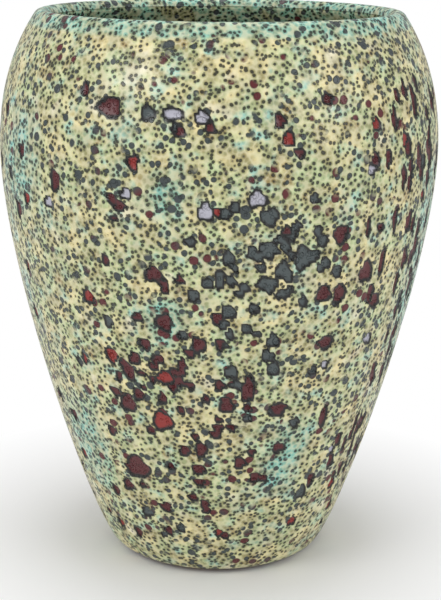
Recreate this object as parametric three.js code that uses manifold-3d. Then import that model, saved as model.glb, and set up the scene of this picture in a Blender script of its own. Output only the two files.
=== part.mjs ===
// A tall wide-shouldered stoneware jar with a thick crater glaze, in millimetres.
// It stands on z = 0 with its axis on +Z. The fired clay body is a base section, two wall
// sections and a rim coil, luted together on keyed seams. One thick glaze coat covers the
// outside and folds over the lip, and a thinner coat lines the mouth.

import * as THREE from "three";
import { mergeVertices } from "three/addons/utils/BufferGeometryUtils.js";
import Module from "manifold-3d";

const wasm = await Module();
wasm.setup();

// Overall shape, measured on the glaze
const JAR_HEIGHT = 584;
const BELLY_RADIUS = 230;
const BELLY_HEIGHT = 444;
const CREST_RADIUS = 184;
const SHOULDER_LEAN = 34; // degrees that the shoulder leans in where it meets the lip
const SHOULDER_FULLNESS = 55; // how far the belly carries upright before it turns in
const NECK_REACH = 43; // how far the lean carries down from the lip
const HEEL_RADIUS = 118; // where the flank starts, at the top of the rounded heel
const HEEL_FILLET = 20;
const FLANK_LEAN = 35.5; // degrees that the flank leans out where it leaves the heel
const FLANK_RISE = 43; // how far that lean carries up from the heel
const FLANK_FULLNESS = 129; // how far the belly carries upright below its widest line

// Wall and coats
const WALL = 18; // from the outer to the inner glazed face, and so the width of the lip
const OUTER_COAT = 3;
const INNER_COAT = 2;
const FIT_GAP = 0.3; // between pieces that seat on each other

// Base
const FOOT_STEP = 3; // how far the foot ring lifts the glazed heel
const FOOT_INSET = 2; // how far the foot ring stands in from the heel
const FOOT_WIDTH = 16;
const FOOT_CHAMFER = 1;
const FOOT_RECESS = 6;
const FLOOR_THICKNESS = 13;
const DRAIN_RADIUS = 12;
const DRAIN_CHAMFER = 2;

// Seams and glaze lines, as shares of the flank's or the shoulder's length
const BASE_SEAM = 0.07;
const WAIST_SEAM = 0.55;
const INNER_GLAZE_LINE = 0.1;
const RIM_SEAM = 0.7;
const OUTER_GLAZE_LINE = -70; // degrees round the heel from level
const FLANK_CRATER_LINE = 0.08; // where the craters start above the heel

// Keyed ridge of each seam
const KEY_HEIGHT = 4;
const KEY_FOOT = 6;
const KEY_TOP = 3;

// Craters that the glaze blew open while it boiled
const CRATER_DEPTH = 2.3;
const FLANK_CRATERS = 44;
const SHOULDER_CRATERS = 12;
const CRATER_WIDTHS = [13, 17, 11, 20, 15];
const CRATER_STRETCH = 1.25; // height over width, as the glaze ran down while it set
const CRATER_TURN = 137.5; // degrees from one crater to the next
const CRATER_FACETS = 8;

const SIDES = 40;

const rawClay = new THREE.MeshStandardMaterial({ color: 0x6e4c3a, roughness: 0.9, metalness: 0 });
const craterGlaze = new THREE.MeshStandardMaterial({ color: 0xc9cfa0, roughness: 0.35, metalness: 0 });
const mouthGlaze = new THREE.MeshStandardMaterial({ color: 0x86bfa6, roughness: 0.3, metalness: 0 });

// Points of a profile are (distance from the axis, height)
const spot = (r, z) => new THREE.Vector2(r, z);
const heading = (degrees) => {
  const angle = THREE.MathUtils.degToRad(degrees);
  return spot(Math.cos(angle), Math.sin(angle));
};

// The outline of the glazed jar, from the heel up to the lip
const heelCentre = spot(HEEL_RADIUS, FOOT_STEP + HEEL_FILLET);
heelCentre.x -= HEEL_FILLET * heading(FLANK_LEAN).x;
const heelTop = heelCentre.clone().addScaledVector(heading(-FLANK_LEAN), HEEL_FILLET);
const belly = spot(BELLY_RADIUS, BELLY_HEIGHT);
const lipCentre = spot(CREST_RADIUS, JAR_HEIGHT - WALL / 2);
const lipFoot = lipCentre.clone().addScaledVector(heading(SHOULDER_LEAN), WALL / 2);
const flank = new THREE.CubicBezierCurve(
  heelTop,
  heelTop.clone().addScaledVector(heading(90 - FLANK_LEAN), FLANK_RISE),
  spot(BELLY_RADIUS, BELLY_HEIGHT - FLANK_FULLNESS),
  belly,
);
const shoulder = new THREE.CubicBezierCurve(
  belly,
  spot(BELLY_RADIUS, BELLY_HEIGHT + SHOULDER_FULLNESS),
  lipFoot.clone().addScaledVector(heading(90 + SHOULDER_LEAN), -NECK_REACH),
  lipFoot,
);

// The point at a share of a curve's length, and at a depth under the outline
function under(curve, share, depth) {
  const rise = curve.getTangentAt(share);
  return curve.getPointAt(share).addScaledVector(spot(rise.y, -rise.x), -depth);
}

// Every piece takes its points on the wall from these stretches, so neighbours keep their gap
const FLANK_STRETCHES = [
  { from: 0, to: BASE_SEAM, steps: 1 },
  { from: BASE_SEAM, to: WAIST_SEAM, steps: 4 },
  { from: WAIST_SEAM, to: 1, steps: 4 },
];
const SHOULDER_STRETCHES = [
  { from: 0, to: INNER_GLAZE_LINE, steps: 1 },
  { from: INNER_GLAZE_LINE, to: RIM_SEAM, steps: 3 },
  { from: RIM_SEAM, to: 1, steps: 2 },
];

function stretch(curve, { from, to, steps }, depth) {
  return Array.from({ length: steps + 1 }, (_, i) => under(curve, from + ((to - from) * i) / steps, depth));
}

function arc(centre, radius, from, to, steps) {
  return Array.from({ length: steps + 1 }, (_, i) =>
    centre.clone().addScaledVector(heading(from + ((to - from) * i) / steps), radius),
  );
}

// Depths under the outline of the two faces of the clay
const clayOut = OUTER_COAT + FIT_GAP;
const clayIn = WALL - INNER_COAT - FIT_GAP;
const clayMiddle = (clayOut + clayIn) / 2;

// The unequal coats shift the middle of everything under them at the lip
const coreCentre = lipCentre.clone().addScaledVector(heading(SHOULDER_LEAN), (INNER_COAT - OUTER_COAT) / 2);
const coatBack = (WALL - OUTER_COAT - INNER_COAT) / 2;
const lipInside = 180 + SHOULDER_LEAN;
const LIP_STEPS = 9;
const LAP_STEPS = 7; // of those steps, how many the outer coat takes before the inner one starts

// One seam from the outer to the inner face: the section below has slack 0 and a ridge, and
// the section above has a groove that is wider and higher by its slack
function seam(curve, share, slack) {
  const rise = curve.getTangentAt(share);
  const point = (depth, height) => under(curve, share, depth).addScaledVector(rise, height + slack);
  return [
    point(clayOut, 0),
    point(clayMiddle - KEY_FOOT / 2 - slack, 0),
    point(clayMiddle - KEY_TOP / 2 - slack, KEY_HEIGHT),
    point(clayMiddle + KEY_TOP / 2 + slack, KEY_HEIGHT),
    point(clayMiddle + KEY_FOOT / 2 + slack, 0),
    point(clayIn, 0),
  ];
}

// The closed ring that a profile sweeps round the jar's axis
function turned(profile) {
  const lathe = new THREE.LatheGeometry([...profile, profile[0].clone()], SIDES);
  const bare = new THREE.BufferGeometry();
  bare.setAttribute("position", lathe.getAttribute("position"));
  bare.setIndex(lathe.getIndex());
  bare.rotateX(Math.PI / 2);
  return mergeVertices(bare, 1e-3);
}

function piece(name, geometry, material) {
  geometry.computeVertexNormals();
  const mesh = new THREE.Mesh(geometry, material);
  mesh.name = name;
  return mesh;
}

// The base section: foot ring, recess, drain hole, floor and the start of the wall
function baseSection() {
  const floorTop = FOOT_RECESS + FLOOR_THICKNESS;
  const footRadius = heelCentre.x - FOOT_INSET;
  const seat = seam(flank, BASE_SEAM, 0);
  const wallFoot = seat[seat.length - 1];
  const slope = flank.getTangentAt(BASE_SEAM);
  const corner = spot(wallFoot.x - ((wallFoot.y - floorTop) * slope.x) / slope.y, floorTop);
  const reach = corner.distanceTo(wallFoot);
  const cove = new THREE.QuadraticBezierCurve(wallFoot, corner, spot(corner.x - reach, floorTop));
  return turned([
    spot(DRAIN_RADIUS, FOOT_RECESS + DRAIN_CHAMFER),
    spot(DRAIN_RADIUS + DRAIN_CHAMFER, FOOT_RECESS),
    spot(footRadius - FOOT_WIDTH - FOOT_CHAMFER, FOOT_RECESS),
    spot(footRadius - FOOT_WIDTH, FOOT_RECESS - FOOT_CHAMFER),
    spot(footRadius - FOOT_WIDTH, FOOT_CHAMFER),
    spot(footRadius - FOOT_WIDTH + FOOT_CHAMFER, 0),
    spot(footRadius - FOOT_CHAMFER, 0),
    spot(footRadius, FOOT_CHAMFER),
    spot(footRadius, FOOT_STEP + clayOut),
    ...arc(heelCentre, HEEL_FILLET - clayOut, -90, OUTER_GLAZE_LINE, 1),
    ...arc(heelCentre, HEEL_FILLET - clayOut, OUTER_GLAZE_LINE, -FLANK_LEAN, 3).slice(1),
    ...seat,
    ...cove.getPoints(4).slice(1),
    spot(DRAIN_RADIUS + DRAIN_CHAMFER, floorTop),
    spot(DRAIN_RADIUS, floorTop - DRAIN_CHAMFER),
  ]);
}

function lowerWall() {
  return turned([
    ...seam(flank, BASE_SEAM, FIT_GAP).reverse(),
    ...stretch(flank, FLANK_STRETCHES[1], clayOut).slice(1, -1),
    ...seam(flank, WAIST_SEAM, 0),
    ...stretch(flank, FLANK_STRETCHES[1], clayIn).slice(1, -1).reverse(),
  ]);
}

function upperWall() {
  const face = (depth) => [
    ...stretch(flank, FLANK_STRETCHES[2], depth).slice(1),
    ...stretch(shoulder, SHOULDER_STRETCHES[0], depth).slice(1),
    ...stretch(shoulder, SHOULDER_STRETCHES[1], depth).slice(1, -1),
  ];
  return turned([
    ...seam(flank, WAIST_SEAM, FIT_GAP).reverse(),
    ...face(clayOut),
    ...seam(shoulder, RIM_SEAM, 0),
    ...face(clayIn).reverse(),
  ]);
}

function rimCoil() {
  return turned([
    ...seam(shoulder, RIM_SEAM, FIT_GAP).reverse(),
    ...stretch(shoulder, SHOULDER_STRETCHES[2], clayOut).slice(1, -1),
    ...arc(coreCentre, coatBack - FIT_GAP, SHOULDER_LEAN, lipInside, LIP_STEPS),
    ...stretch(shoulder, SHOULDER_STRETCHES[2], clayIn).slice(1, -1).reverse(),
  ]);
}

// The cutter of one crater: a flattened ball sunk in the glaze at a place on the outline
function crater(curve, share, degrees, width) {
  const place = curve.getPointAt(share);
  const slope = curve.getTangentAt(share);
  const round = heading(degrees);
  const turn = (r, z) => new THREE.Vector3(r * round.x, r * round.y, z);
  const rise = turn(slope.x, slope.y);
  const out = turn(slope.y, -slope.x);
  const frame = new THREE.Matrix4().makeBasis(rise.clone().cross(out), rise, out);
  frame.setPosition(turn(place.x, place.y));
  return wasm.Manifold.sphere(1, CRATER_FACETS)
    .scale([width / 2, (width * CRATER_STRETCH) / 2, CRATER_DEPTH])
    .transform(frame.elements);
}

function craters(curve, count, from, to) {
  return Array.from({ length: count }, (_, i) => {
    const share = from + ((to - from) * (i + 0.5)) / count;
    return crater(curve, share, i * CRATER_TURN, CRATER_WIDTHS[i % CRATER_WIDTHS.length]);
  });
}

// The outer coat runs from the glaze line under the heel, over the lip and into the mouth
function outerGlaze() {
  const face = (depth, centre, radius) => [
    ...arc(heelCentre, HEEL_FILLET - depth, OUTER_GLAZE_LINE, -FLANK_LEAN, 3),
    ...FLANK_STRETCHES.flatMap((part) => stretch(flank, part, depth).slice(1)),
    ...SHOULDER_STRETCHES.flatMap((part) => stretch(shoulder, part, depth).slice(1)),
    ...arc(centre, radius, SHOULDER_LEAN, lipInside, LIP_STEPS).slice(1, LAP_STEPS + 1),
  ];
  const coat = turned([...face(0, lipCentre, WALL / 2), ...face(OUTER_COAT, coreCentre, coatBack).reverse()]);
  const body = new wasm.Manifold(
    new wasm.Mesh({
      numProp: 3,
      vertProperties: new Float32Array(coat.getAttribute("position").array),
      triVerts: new Uint32Array(coat.getIndex().array),
    }),
  );
  const cutters = [
    ...craters(flank, FLANK_CRATERS, FLANK_CRATER_LINE, 1),
    ...craters(shoulder, SHOULDER_CRATERS, 0, RIM_SEAM),
  ];
  const mesh = body.subtract(wasm.Manifold.union(cutters)).getMesh();
  const pitted = new THREE.BufferGeometry();
  pitted.setAttribute("position", new THREE.BufferAttribute(mesh.vertProperties, 3));
  pitted.setIndex(new THREE.BufferAttribute(mesh.triVerts, 1));
  return pitted;
}

// The inner coat meets the outer one inside the mouth, and stops where the clay is left bare
function innerGlaze() {
  const lapEnd = SHOULDER_LEAN + (180 * LAP_STEPS) / LIP_STEPS;
  const start = lapEnd + THREE.MathUtils.radToDeg(FIT_GAP / coatBack);
  const [, middle, high] = SHOULDER_STRETCHES;
  const face = (depth, centre, radius) => [
    ...arc(centre, radius, start, lipInside, LIP_STEPS - LAP_STEPS),
    ...stretch(shoulder, high, depth).reverse().slice(1),
    ...stretch(shoulder, middle, depth).reverse().slice(1),
  ];
  const front = face(WALL, lipCentre, WALL / 2);
  const back = face(WALL - INNER_COAT, coreCentre, coatBack);
  return turned([...front, ...back.reverse()]);
}

const jar = new THREE.Group();
jar.add(
  piece("base_section", baseSection(), rawClay),
  piece("lower_wall", lowerWall(), rawClay),
  piece("upper_wall", upperWall(), rawClay),
  piece("rim_coil", rimCoil(), rawClay),
  piece("outer_glaze", outerGlaze(), craterGlaze),
  piece("inner_glaze", innerGlaze(), mouthGlaze),
);
export default jar;
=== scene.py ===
import math
import random

import bpy
import numpy as np
from mathutils import Matrix, Vector


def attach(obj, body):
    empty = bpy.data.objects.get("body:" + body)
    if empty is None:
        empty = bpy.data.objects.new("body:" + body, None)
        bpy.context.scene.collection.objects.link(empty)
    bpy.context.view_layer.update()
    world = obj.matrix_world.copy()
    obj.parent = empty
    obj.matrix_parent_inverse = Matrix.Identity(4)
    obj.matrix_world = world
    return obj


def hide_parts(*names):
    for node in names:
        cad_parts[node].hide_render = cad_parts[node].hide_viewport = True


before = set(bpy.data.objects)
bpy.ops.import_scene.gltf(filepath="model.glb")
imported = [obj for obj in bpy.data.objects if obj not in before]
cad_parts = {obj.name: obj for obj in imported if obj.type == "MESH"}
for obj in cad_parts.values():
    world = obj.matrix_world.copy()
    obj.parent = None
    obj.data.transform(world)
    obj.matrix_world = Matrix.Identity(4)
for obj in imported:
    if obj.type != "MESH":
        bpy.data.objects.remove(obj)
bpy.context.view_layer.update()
scene = bpy.context.scene
scene.view_settings.view_transform = "Standard"

# The outer coat: a thick glaze that boiled in the kiln, over the whole outside, from the glaze
# line under the heel, over the lip and into the mouth. Gas left open craters in it. Its outline
# repeats the CAD's, in metres, as (distance from the axis, height).


def bezier(a, b, c, d, count):
    t = np.linspace(0, 1, count)[:, None]
    return (1 - t) ** 3 * a + 3 * t * (1 - t) ** 2 * b + 3 * t**2 * (1 - t) * c + t**3 * d


def heading(degrees):
    return np.array([math.cos(math.radians(degrees)), math.sin(math.radians(degrees))])


def arc(centre, radius, start, end, count):
    return np.array([centre + radius * heading(angle) for angle in np.linspace(start, end, count)])


HEEL_CENTRE = np.array([0.1017, 0.023])
HEEL_FILLET = 0.020
FLANK_RISE = 0.043
FLANK_FULLNESS = 0.129
BELLY = np.array([0.230, 0.444])
SHOULDER_FULLNESS = 0.055
NECK_REACH = 0.043
LIP_CENTRE = np.array([0.184, 0.575])
WALL = 0.018
FLANK_LEAN = 35.5
SHOULDER_LEAN = 34
COAT = 0.003
INNER_COAT = 0.002
LAP_END = 174

heel_top = HEEL_CENTRE + HEEL_FILLET * heading(-FLANK_LEAN)
lip_foot = LIP_CENTRE + WALL / 2 * heading(SHOULDER_LEAN)
heel_lead = heel_top + FLANK_RISE * heading(90 - FLANK_LEAN)
lip_lead = lip_foot - NECK_REACH * heading(90 + SHOULDER_LEAN)
flank = bezier(heel_top, heel_lead, BELLY - (0, FLANK_FULLNESS), BELLY, 138)
shoulder = bezier(BELLY, BELLY + (0, SHOULDER_FULLNESS), lip_lead, lip_foot, 38)
core = LIP_CENTRE + (INNER_COAT - COAT) / 2 * heading(SHOULDER_LEAN)
heel = arc(HEEL_CENTRE, HEEL_FILLET, -70, -FLANK_LEAN, 6)
lip = arc(LIP_CENTRE, WALL / 2, SHOULDER_LEAN, LAP_END, 14)
front = np.vstack([heel[:-1], flank, shoulder[1:], lip[1:]])
slope = np.gradient(front, axis=0)
slope /= np.linalg.norm(slope, axis=1)[:, None]
outward = np.stack([slope[:, 1], -slope[:, 0]], axis=1)
wall_back = (front - COAT * outward)[: len(front) - len(lip) + 1 : 10]
back = np.vstack([wall_back, arc(core, (WALL - COAT - INNER_COAT) / 2, SHOULDER_LEAN, LAP_END, 8)])


def turned(name, profile, steps):
    """A closed profile spun round the jar's axis into one closed ring."""
    bpy.ops.object.select_all(action="DESELECT")
    mesh = bpy.data.meshes.new(name)
    points = [(0, -r, z) for r, z in profile]
    mesh.from_pydata(points, [(i, (i + 1) % len(points)) for i in range(len(points))], [])
    piece = bpy.data.objects.new(name, mesh)
    scene.collection.objects.link(piece)
    bpy.context.view_layer.objects.active = piece
    piece.select_set(True)
    bpy.ops.object.mode_set(mode="EDIT")
    bpy.ops.mesh.select_all(action="SELECT")
    bpy.ops.mesh.spin(steps=steps, angle=2 * math.pi, center=(0, 0, 0), axis=(0, 0, 1))
    bpy.ops.mesh.select_all(action="SELECT")
    bpy.ops.mesh.remove_doubles(threshold=0.00005)
    bpy.ops.mesh.normals_make_consistent(inside=False)
    bpy.ops.object.mode_set(mode="OBJECT")
    bpy.ops.object.shade_smooth_by_angle(angle=math.radians(50))
    return piece


outer = turned("crater_coat", np.vstack([front, back[::-1]]), 420)

# Craters listed one by one: degrees to the right of the front, height, width and length in mm,
# and kind, where 0 is slate, 1 maroon, 2 bright red and 3 a pale floor that is a painted reflection of the
# overhead softbox.
CRATERS = [
    (-27, 507, 25, 19, 1), (-17, 504, 13, 13, 0), (-11, 504, 19, 12, 3), (-4, 502, 13, 12, 3),
    (-43, 433, 13, 22, 1), (-65, 427, 10, 13, 0), (-16, 352, 18, 14, 1), (-3, 415, 14, 18, 3),
    (9, 427, 18, 16, 3), (12, 410, 18, 17, 0), (12, 378, 17, 17, 0), (16, 359, 13, 13, 0),
    (21, 368, 15, 26, 0), (31, 388, 16, 20, 1), (41, 345, 18, 22, 1), (28, 329, 17, 17, 1),
    (33, 327, 14, 20, 1), (47, 311, 13, 16, 1), (3, 316, 13, 13, 0), (15, 283, 13, 12, 0),
    (14, 268, 14, 12, 0), (4, 252, 13, 14, 0), (16, 254, 12, 15, 0), (31, 276, 18, 14, 1),
    (9, 232, 13, 28, 1), (19, 208, 18, 14, 1), (3, 214, 15, 14, 1), (-14, 303, 17, 18, 1),
    (-5, 281, 14, 16, 1), (-31, 260, 14, 16, 2), (-15, 243, 18, 14, 2), (-26, 245, 13, 18, 1),
    (-17, 193, 22, 20, 2), (-28, 209, 18, 20, 1), (-29, 133, 27, 27, 1), (-5, 163, 12, 18, 1),
    (-6, 139, 14, 11, 1), (8, 147, 12, 14, 1), (14, 128, 13, 12, 1), (21, 162, 14, 11, 1),
    (36, 190, 8, 26, 1), (-20, 88, 13, 12, 1), (-29, 77, 13, 12, 0), (58, 505, 8, 34, 1),
    (66, 430, 8, 34, 1), (56, 385, 8, 20, 1), (62, 300, 8, 22, 0), (38, 113, 8, 18, 1),
]

# The rest are strewn: a maroon fall at the right, a slate cluster right of the front, a maroon
# scatter over the lower front, and all sizes over the sides and back
picker = random.Random(7)
for _ in range(70):
    degrees = picker.gauss(62, 9)
    CRATERS.append((degrees, picker.uniform(110, 530), picker.uniform(6, 10), picker.uniform(12, 30), 1))
for _ in range(60):
    degrees, height = picker.gauss(11, 9), picker.gauss(335, 50)
    CRATERS.append((degrees, height, picker.uniform(7, 12), picker.uniform(7, 12), 0))
for _ in range(45):
    degrees, height = picker.gauss(-16, 11), picker.gauss(220, 55)
    CRATERS.append((degrees, height, picker.uniform(6, 12), picker.uniform(7, 14), 1))
for _ in range(240):
    degrees = picker.uniform(75, 285) if picker.random() < 0.6 else picker.uniform(-75, 75)
    size = picker.uniform(7, 13) if abs(degrees) < 75 else picker.uniform(8, 21)
    kind = picker.choice([0, 0, 1, 1, 1, 2, 3])
    CRATERS.append((degrees, picker.uniform(35, 530), size, size * picker.uniform(0.8, 1.5), kind))

CRATER_DEPTH = 0.0024
count = len(outer.data.vertices)
place = np.empty(count * 3, dtype=np.float32)
outer.data.vertices.foreach_get("co", place)
place = place.reshape(-1, 3)
normals = np.empty(count * 3, dtype=np.float32)
outer.data.vertices.foreach_get("normal", normals)
normals = normals.reshape(-1, 3)
radius = np.hypot(place[:, 0], place[:, 1])
azimuth = np.degrees(np.arctan2(place[:, 0], -place[:, 1]))
outer_face = (normals[:, 0] * place[:, 0] + normals[:, 1] * place[:, 1] > 0) & (place[:, 2] < 0.57)
sunk = np.zeros(count)
kinds = np.zeros((4, count))
for degrees, height, width, length, kind in CRATERS:
    across = (azimuth - degrees + 180) % 360 - 180
    across = np.radians(across) * radius / (width / 2000)
    up = (place[:, 2] - height / 1000) / (length / 2000)
    angle = np.arctan2(up, across)
    ragged = 1 + 0.14 * np.sin(3 * angle + degrees) + 0.08 * np.sin(5 * angle + height)
    reach = np.hypot(across, up) / ragged
    bowl = np.clip((1.1 - reach) / 0.35, 0, 1) * outer_face
    sunk = np.maximum(sunk, bowl)
    kinds[kind] = np.maximum(kinds[kind], bowl)
place -= normals * (CRATER_DEPTH * sunk)[:, None]
outer.data.vertices.foreach_set("co", place.ravel())
# Kind 3, the pale crater floor, is a painted reflection of the overhead softbox.
for name, values in zip(("slate", "maroon", "red", "painted_reflection"), kinds):
    layer = outer.data.attributes.new(name, "FLOAT", "POINT")
    layer.data.foreach_set("value", values.astype(np.float32))

# Where copper ran in the glaze, with painted rim light in the washes at -52, -60 and 70 degrees,
# near the left and right edges: degrees, height, half width in degrees and half length in mm
COPPER_AND_RIM_LIGHT_WASHES = [(-52, 150, 16, 75), (-60, 430, 14, 60), (70, 330, 14, 170), (-14, 305, 8, 35),
          (24, 150, 10, 60), (-12, 430, 8, 30), (160, 300, 25, 120), (230, 420, 18, 80)]
copper_and_rim_light_wash = np.clip((place[:, 2] - 0.566) / 0.008, 0, 1)
for degrees, height, half_width, half_length in COPPER_AND_RIM_LIGHT_WASHES:
    across = ((azimuth - degrees + 180) % 360 - 180) / half_width
    up = (place[:, 2] * 1000 - height) / half_length
    copper_and_rim_light_wash = np.maximum(copper_and_rim_light_wash, np.clip(1.2 - np.hypot(across, up), 0, 1))
layer = outer.data.attributes.new("copper_and_rim_light", "FLOAT", "POINT")
layer.data.foreach_set("value", copper_and_rim_light_wash.astype(np.float32))
outer.data.update()


def colour(code):
    parts = [int(code[i : i + 2], 16) / 255 for i in (1, 3, 5)]
    return (*[p / 12.92 if p < 0.04045 else ((p + 0.055) / 1.055) ** 2.4 for p in parts], 1)


class Wire:
    """One socket of a shader, on which sums can be written."""

    def __init__(self, tree, socket):
        self.tree, self.socket = tree, socket

    def node(self, kind, settings=None, out=0, **inputs):
        made = self.tree.nodes.new(kind)
        for key, value in (settings or {}).items():
            setattr(made, key, value)
        for key, value in inputs.items():
            socket = made.inputs[int(key[1:])] if key[1:].isdigit() else made.inputs[key.replace("_", " ")]
            if isinstance(value, Wire):
                self.tree.links.new(value.socket, socket)
            else:
                socket.default_value = value
        return Wire(self.tree, made.outputs[out])

    def sum(self, operation, a, b):
        return self.node("ShaderNodeMath", {"operation": operation}, i0=a, i1=b)

    def __add__(self, other):
        return self.sum("ADD", self, other)

    def __mul__(self, other):
        return self.sum("MULTIPLY", self, other)

    def __rsub__(self, other):
        return self.sum("SUBTRACT", other, self)

    def step(self, low, high):
        return self.node("ShaderNodeMapRange", {"clamp": True}, Value=self, From_Min=low, From_Max=high)

    def over(self, under, top):
        settings = {"data_type": "RGBA"}
        return self.node("ShaderNodeMix", settings, out=2, i0=self, i6=under, i7=top)


def material(name):
    made = bpy.data.materials.new(name)
    made.use_nodes = True
    shader = made.node_tree.nodes["Principled BSDF"]
    coords = made.node_tree.nodes.new("ShaderNodeTexCoord")
    return made, shader, Wire(made.node_tree, coords.outputs["Object"])


def noise(at, scale, detail=3):
    return at.node("ShaderNodeTexNoise", Vector=at, Scale=scale, Detail=detail)


def glaze(name, ground, pitted):
    """Runny glaze in patches, with blown pores; pitted adds the open craters' colours, painted shade on
    their walls and a painted reflection on pale floors.
    """
    made, shader, at = material(name)
    tone = ground[0]
    for scale, low, high, shade in ground[1:]:
        tone = noise(at, scale).step(low, high).over(tone, shade)
    if pitted:
        # Cyan copper streaks; near the jar's left and right edges they are also painted rim light.
        copper_and_rim_light = at.node("ShaderNodeAttribute", {"attribute_name": "copper_and_rim_light"}, out=2)
        streak_and_rim_light = copper_and_rim_light + noise(at, 45) * 0.9
        tone = (streak_and_rim_light.step(0.75, 1.25) * 0.85).over(tone, colour("#7cc6bc"))
    warp = at.node("ShaderNodeTexNoise", out=1, Vector=at, Scale=60)
    place = at.node("ShaderNodeVectorMath", {"operation": "MULTIPLY_ADD"}, i0=warp, i1=(0.004,) * 3, i2=at)
    cell = at.node("ShaderNodeTexVoronoi", Vector=place, Scale=205)
    wide_cell = at.node("ShaderNodeTexVoronoi", Vector=place, Scale=105)
    pore = 1 - cell.step(0.28, 0.42)
    blister = (1 - wide_cell.step(0.27, 0.34)) * noise(at, 30).step(0.44, 0.5)
    pit = 1 - at.node("ShaderNodeTexVoronoi", Vector=place, Scale=62).step(0.24, 0.3)
    pit = pit * noise(at, 22).step(0.46, 0.52)
    scum = noise(at, 75).step(0.36, 0.66) * 0.8
    tone = scum.over(tone, colour("#8c895c"))
    tone = (cell.step(0.5, 0.75) * 0.45).over(tone, colour("#f3ecc6"))
    tone = (pore * 0.92).over(tone, colour("#25261f"))
    tone = blister.over(tone, colour("#414a49"))
    pit_tone = noise(at, 13).step(0.47, 0.53).over(colour("#3f4748"), colour("#5e2326"))
    tone = pit.over(tone, pit_tone)
    relief = 1 - pore * 0.6 + blister * -0.8 + pit * -1.0
    if pitted:
        # The pale lavender crater floor (#b9b8c4) is a painted reflection of the overhead softbox.
        tones = (("slate", "#4d5657"), ("maroon", "#5a2226"), ("red", "#94302b"), ("painted_reflection", "#b9b8c4"))
        for label, code in tones:
            mask = at.node("ShaderNodeAttribute", {"attribute_name": label}, out=2)
            # Painted shade: a near-black ring just inside each crater's rim, where the crater wall lies in
            # shadow.
            tone = mask.step(0.05, 0.25).over(tone, colour("#1f2020"))
            tone = mask.step(0.55, 0.9).over(tone, colour(code))
    bump = at.node("ShaderNodeBump", Height=relief, Distance=0.002, Strength=0.9)
    made.node_tree.links.new(tone.socket, shader.inputs["Base Color"])
    made.node_tree.links.new(bump.socket, shader.inputs["Normal"])
    rough = noise(at, 30) * 0.25 + 0.2
    made.node_tree.links.new(rough.socket, shader.inputs["Roughness"])
    return made


OUTER_GROUND = [
    colour("#efe0a6"),
    (40, 0.38, 0.6, colour("#bfd09c")),
    (55, 0.52, 0.68, colour("#9fd0c2")),
    (48, 0.54, 0.7, colour("#a08a58")),
    (8, 0.62, 0.74, colour("#84c8c8")),
    (33, 0.6, 0.72, colour("#f1ead0")),
]
outer.data.materials.append(glaze("crater_glaze_finish", OUTER_GROUND, True))
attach(outer, "root")
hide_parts("outer_glaze")

# The inner coat: the same family of glaze, poured thinner and greener, on the clay inside the
# mouth. It keeps the shape that the frame gives it.
inner_finish = glaze("mouth_glaze_finish", [colour("#86c2a8"), (26, 0.5, 0.62, colour("#8f9466"))], False)
bpy.data.objects["inner_glaze"].material_slots[0].material = inner_finish

# The clay body: coarse iron-bearing stoneware, turned and left bare under the foot and inside.
clay, clay_shader, clay_at = material("bare_stoneware")
grog = noise(clay_at, 420, 5)
fired = noise(clay_at, 12).step(0.35, 0.65).over(colour("#7b5743"), colour("#5c4034"))
fired = grog.step(0.6, 0.7).over(fired, colour("#a98c72"))
clay_bump = clay_at.node("ShaderNodeBump", Height=grog, Distance=0.0006, Strength=0.5)
clay.node_tree.links.new(fired.socket, clay_shader.inputs["Base Color"])
clay.node_tree.links.new(clay_bump.socket, clay_shader.inputs["Normal"])
clay_shader.inputs["Roughness"].default_value = 0.88
for name in ("base_section", "lower_wall", "upper_wall", "rim_coil"):
    bpy.data.objects[name].material_slots[0].material = clay

# The studio: a pale paper floor that fades to white for the camera alone and keeps the jar's
# shadow, a surround that the camera sees white, and three soft lamps.
bpy.ops.object.select_all(action="DESELECT")
bpy.ops.mesh.primitive_plane_add(size=14)
floor = bpy.context.object
floor.name = "studio_floor"
paper, paper_shader, paper_at = material("paper")
paper_shader.inputs["Base Color"].default_value = (0.92, 0.92, 0.92, 1)
paper_shader.inputs["Roughness"].default_value = 1.0
wide = paper.node_tree.nodes.new("ShaderNodeVectorMath")
wide.operation = "LENGTH"
paper.node_tree.links.new(paper_at.socket, wide.inputs[0])
seen = Wire(paper.node_tree, paper.node_tree.nodes.new("ShaderNodeLightPath").outputs["Is Camera Ray"])
faded = Wire(paper.node_tree, wide.outputs["Value"]).step(0.16, 0.42) * seen
glow = paper.node_tree.nodes.new("ShaderNodeEmission")
lit = Wire(paper.node_tree, paper_shader.outputs[0])
bright = Wire(paper.node_tree, glow.outputs[0])
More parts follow.
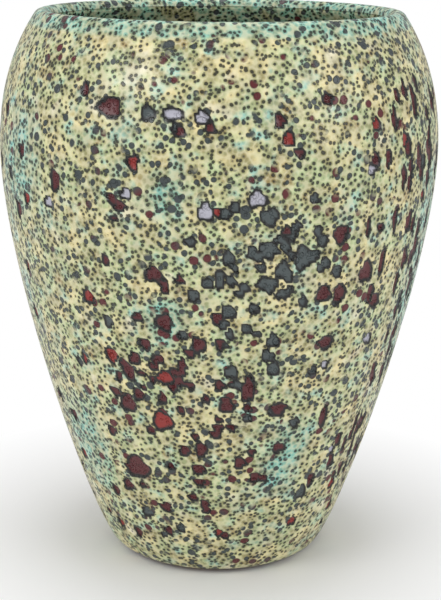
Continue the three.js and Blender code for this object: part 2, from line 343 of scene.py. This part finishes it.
blend = paper_at.node("ShaderNodeMixShader", i0=faded, i1=lit, i2=bright)
paper.node_tree.links.new(blend.socket, paper.node_tree.nodes["Material Output"].inputs["Surface"])
floor.data.materials.append(paper)

world = bpy.data.worlds.new("surround")
scene.world = world
world.use_nodes = True
tree = world.node_tree
back_light = tree.nodes["Background"]
ray = tree.nodes.new("ShaderNodeLightPath")
level = Wire(tree, ray.outputs["Is Camera Ray"]) * 0.45 + 0.55
tree.links.new(level.socket, back_light.inputs["Strength"])
back_light.inputs["Color"].default_value = (1, 1, 1, 1)
for name, spot, power, size in (
    ("left_lamp", (-1.8, -1.6, 1.7), 22, 1.4),
    ("right_lamp", (1.9, -1.3, 1.3), 14, 1.4),
    ("top_lamp", (0, 0.2, 2.4), 16, 1.8),
):
    lamp = bpy.data.lights.new(name, "AREA")
    lamp.energy = power
    lamp.size = size
    holder = bpy.data.objects.new(name, lamp)
    holder.location = spot
    holder.rotation_euler = (Vector((0, 0, 0.35)) - Vector(spot)).to_track_quat("-Z", "Y").to_euler()
    scene.collection.objects.link(holder)

# The camera stands where the jar's outline and crest ellipse in the photograph put it. In the
# photograph's 441 by 600 frame the jar's axis is 2.8 pixels left of the middle, and leans by half a
# degree.
AXIS_OFFSET_PX = 2.8
FRAME_HEIGHT_PX = 600
CAMERA_DISTANCE = 1.56
CAMERA_HEIGHT = 0.684
AIM_HEIGHT = 0.2719
CAMERA_ROLL = math.radians(0.5)
camera_data = bpy.data.cameras.new("photo_camera")
camera_data.sensor_fit = "VERTICAL"
camera_data.sensor_height = 36
camera_data.lens = 88.8
camera_data.shift_x = AXIS_OFFSET_PX / FRAME_HEIGHT_PX
camera = bpy.data.objects.new("photo_camera", camera_data)
camera.location = (0, -CAMERA_DISTANCE, CAMERA_HEIGHT)
sight = (Vector((0, 0, AIM_HEIGHT)) - camera.location).to_track_quat("-Z", "Y").to_matrix()
camera.rotation_euler = (sight @ Matrix.Rotation(CAMERA_ROLL, 3, "Z")).to_euler()
scene.collection.objects.link(camera)
scene.camera = camera
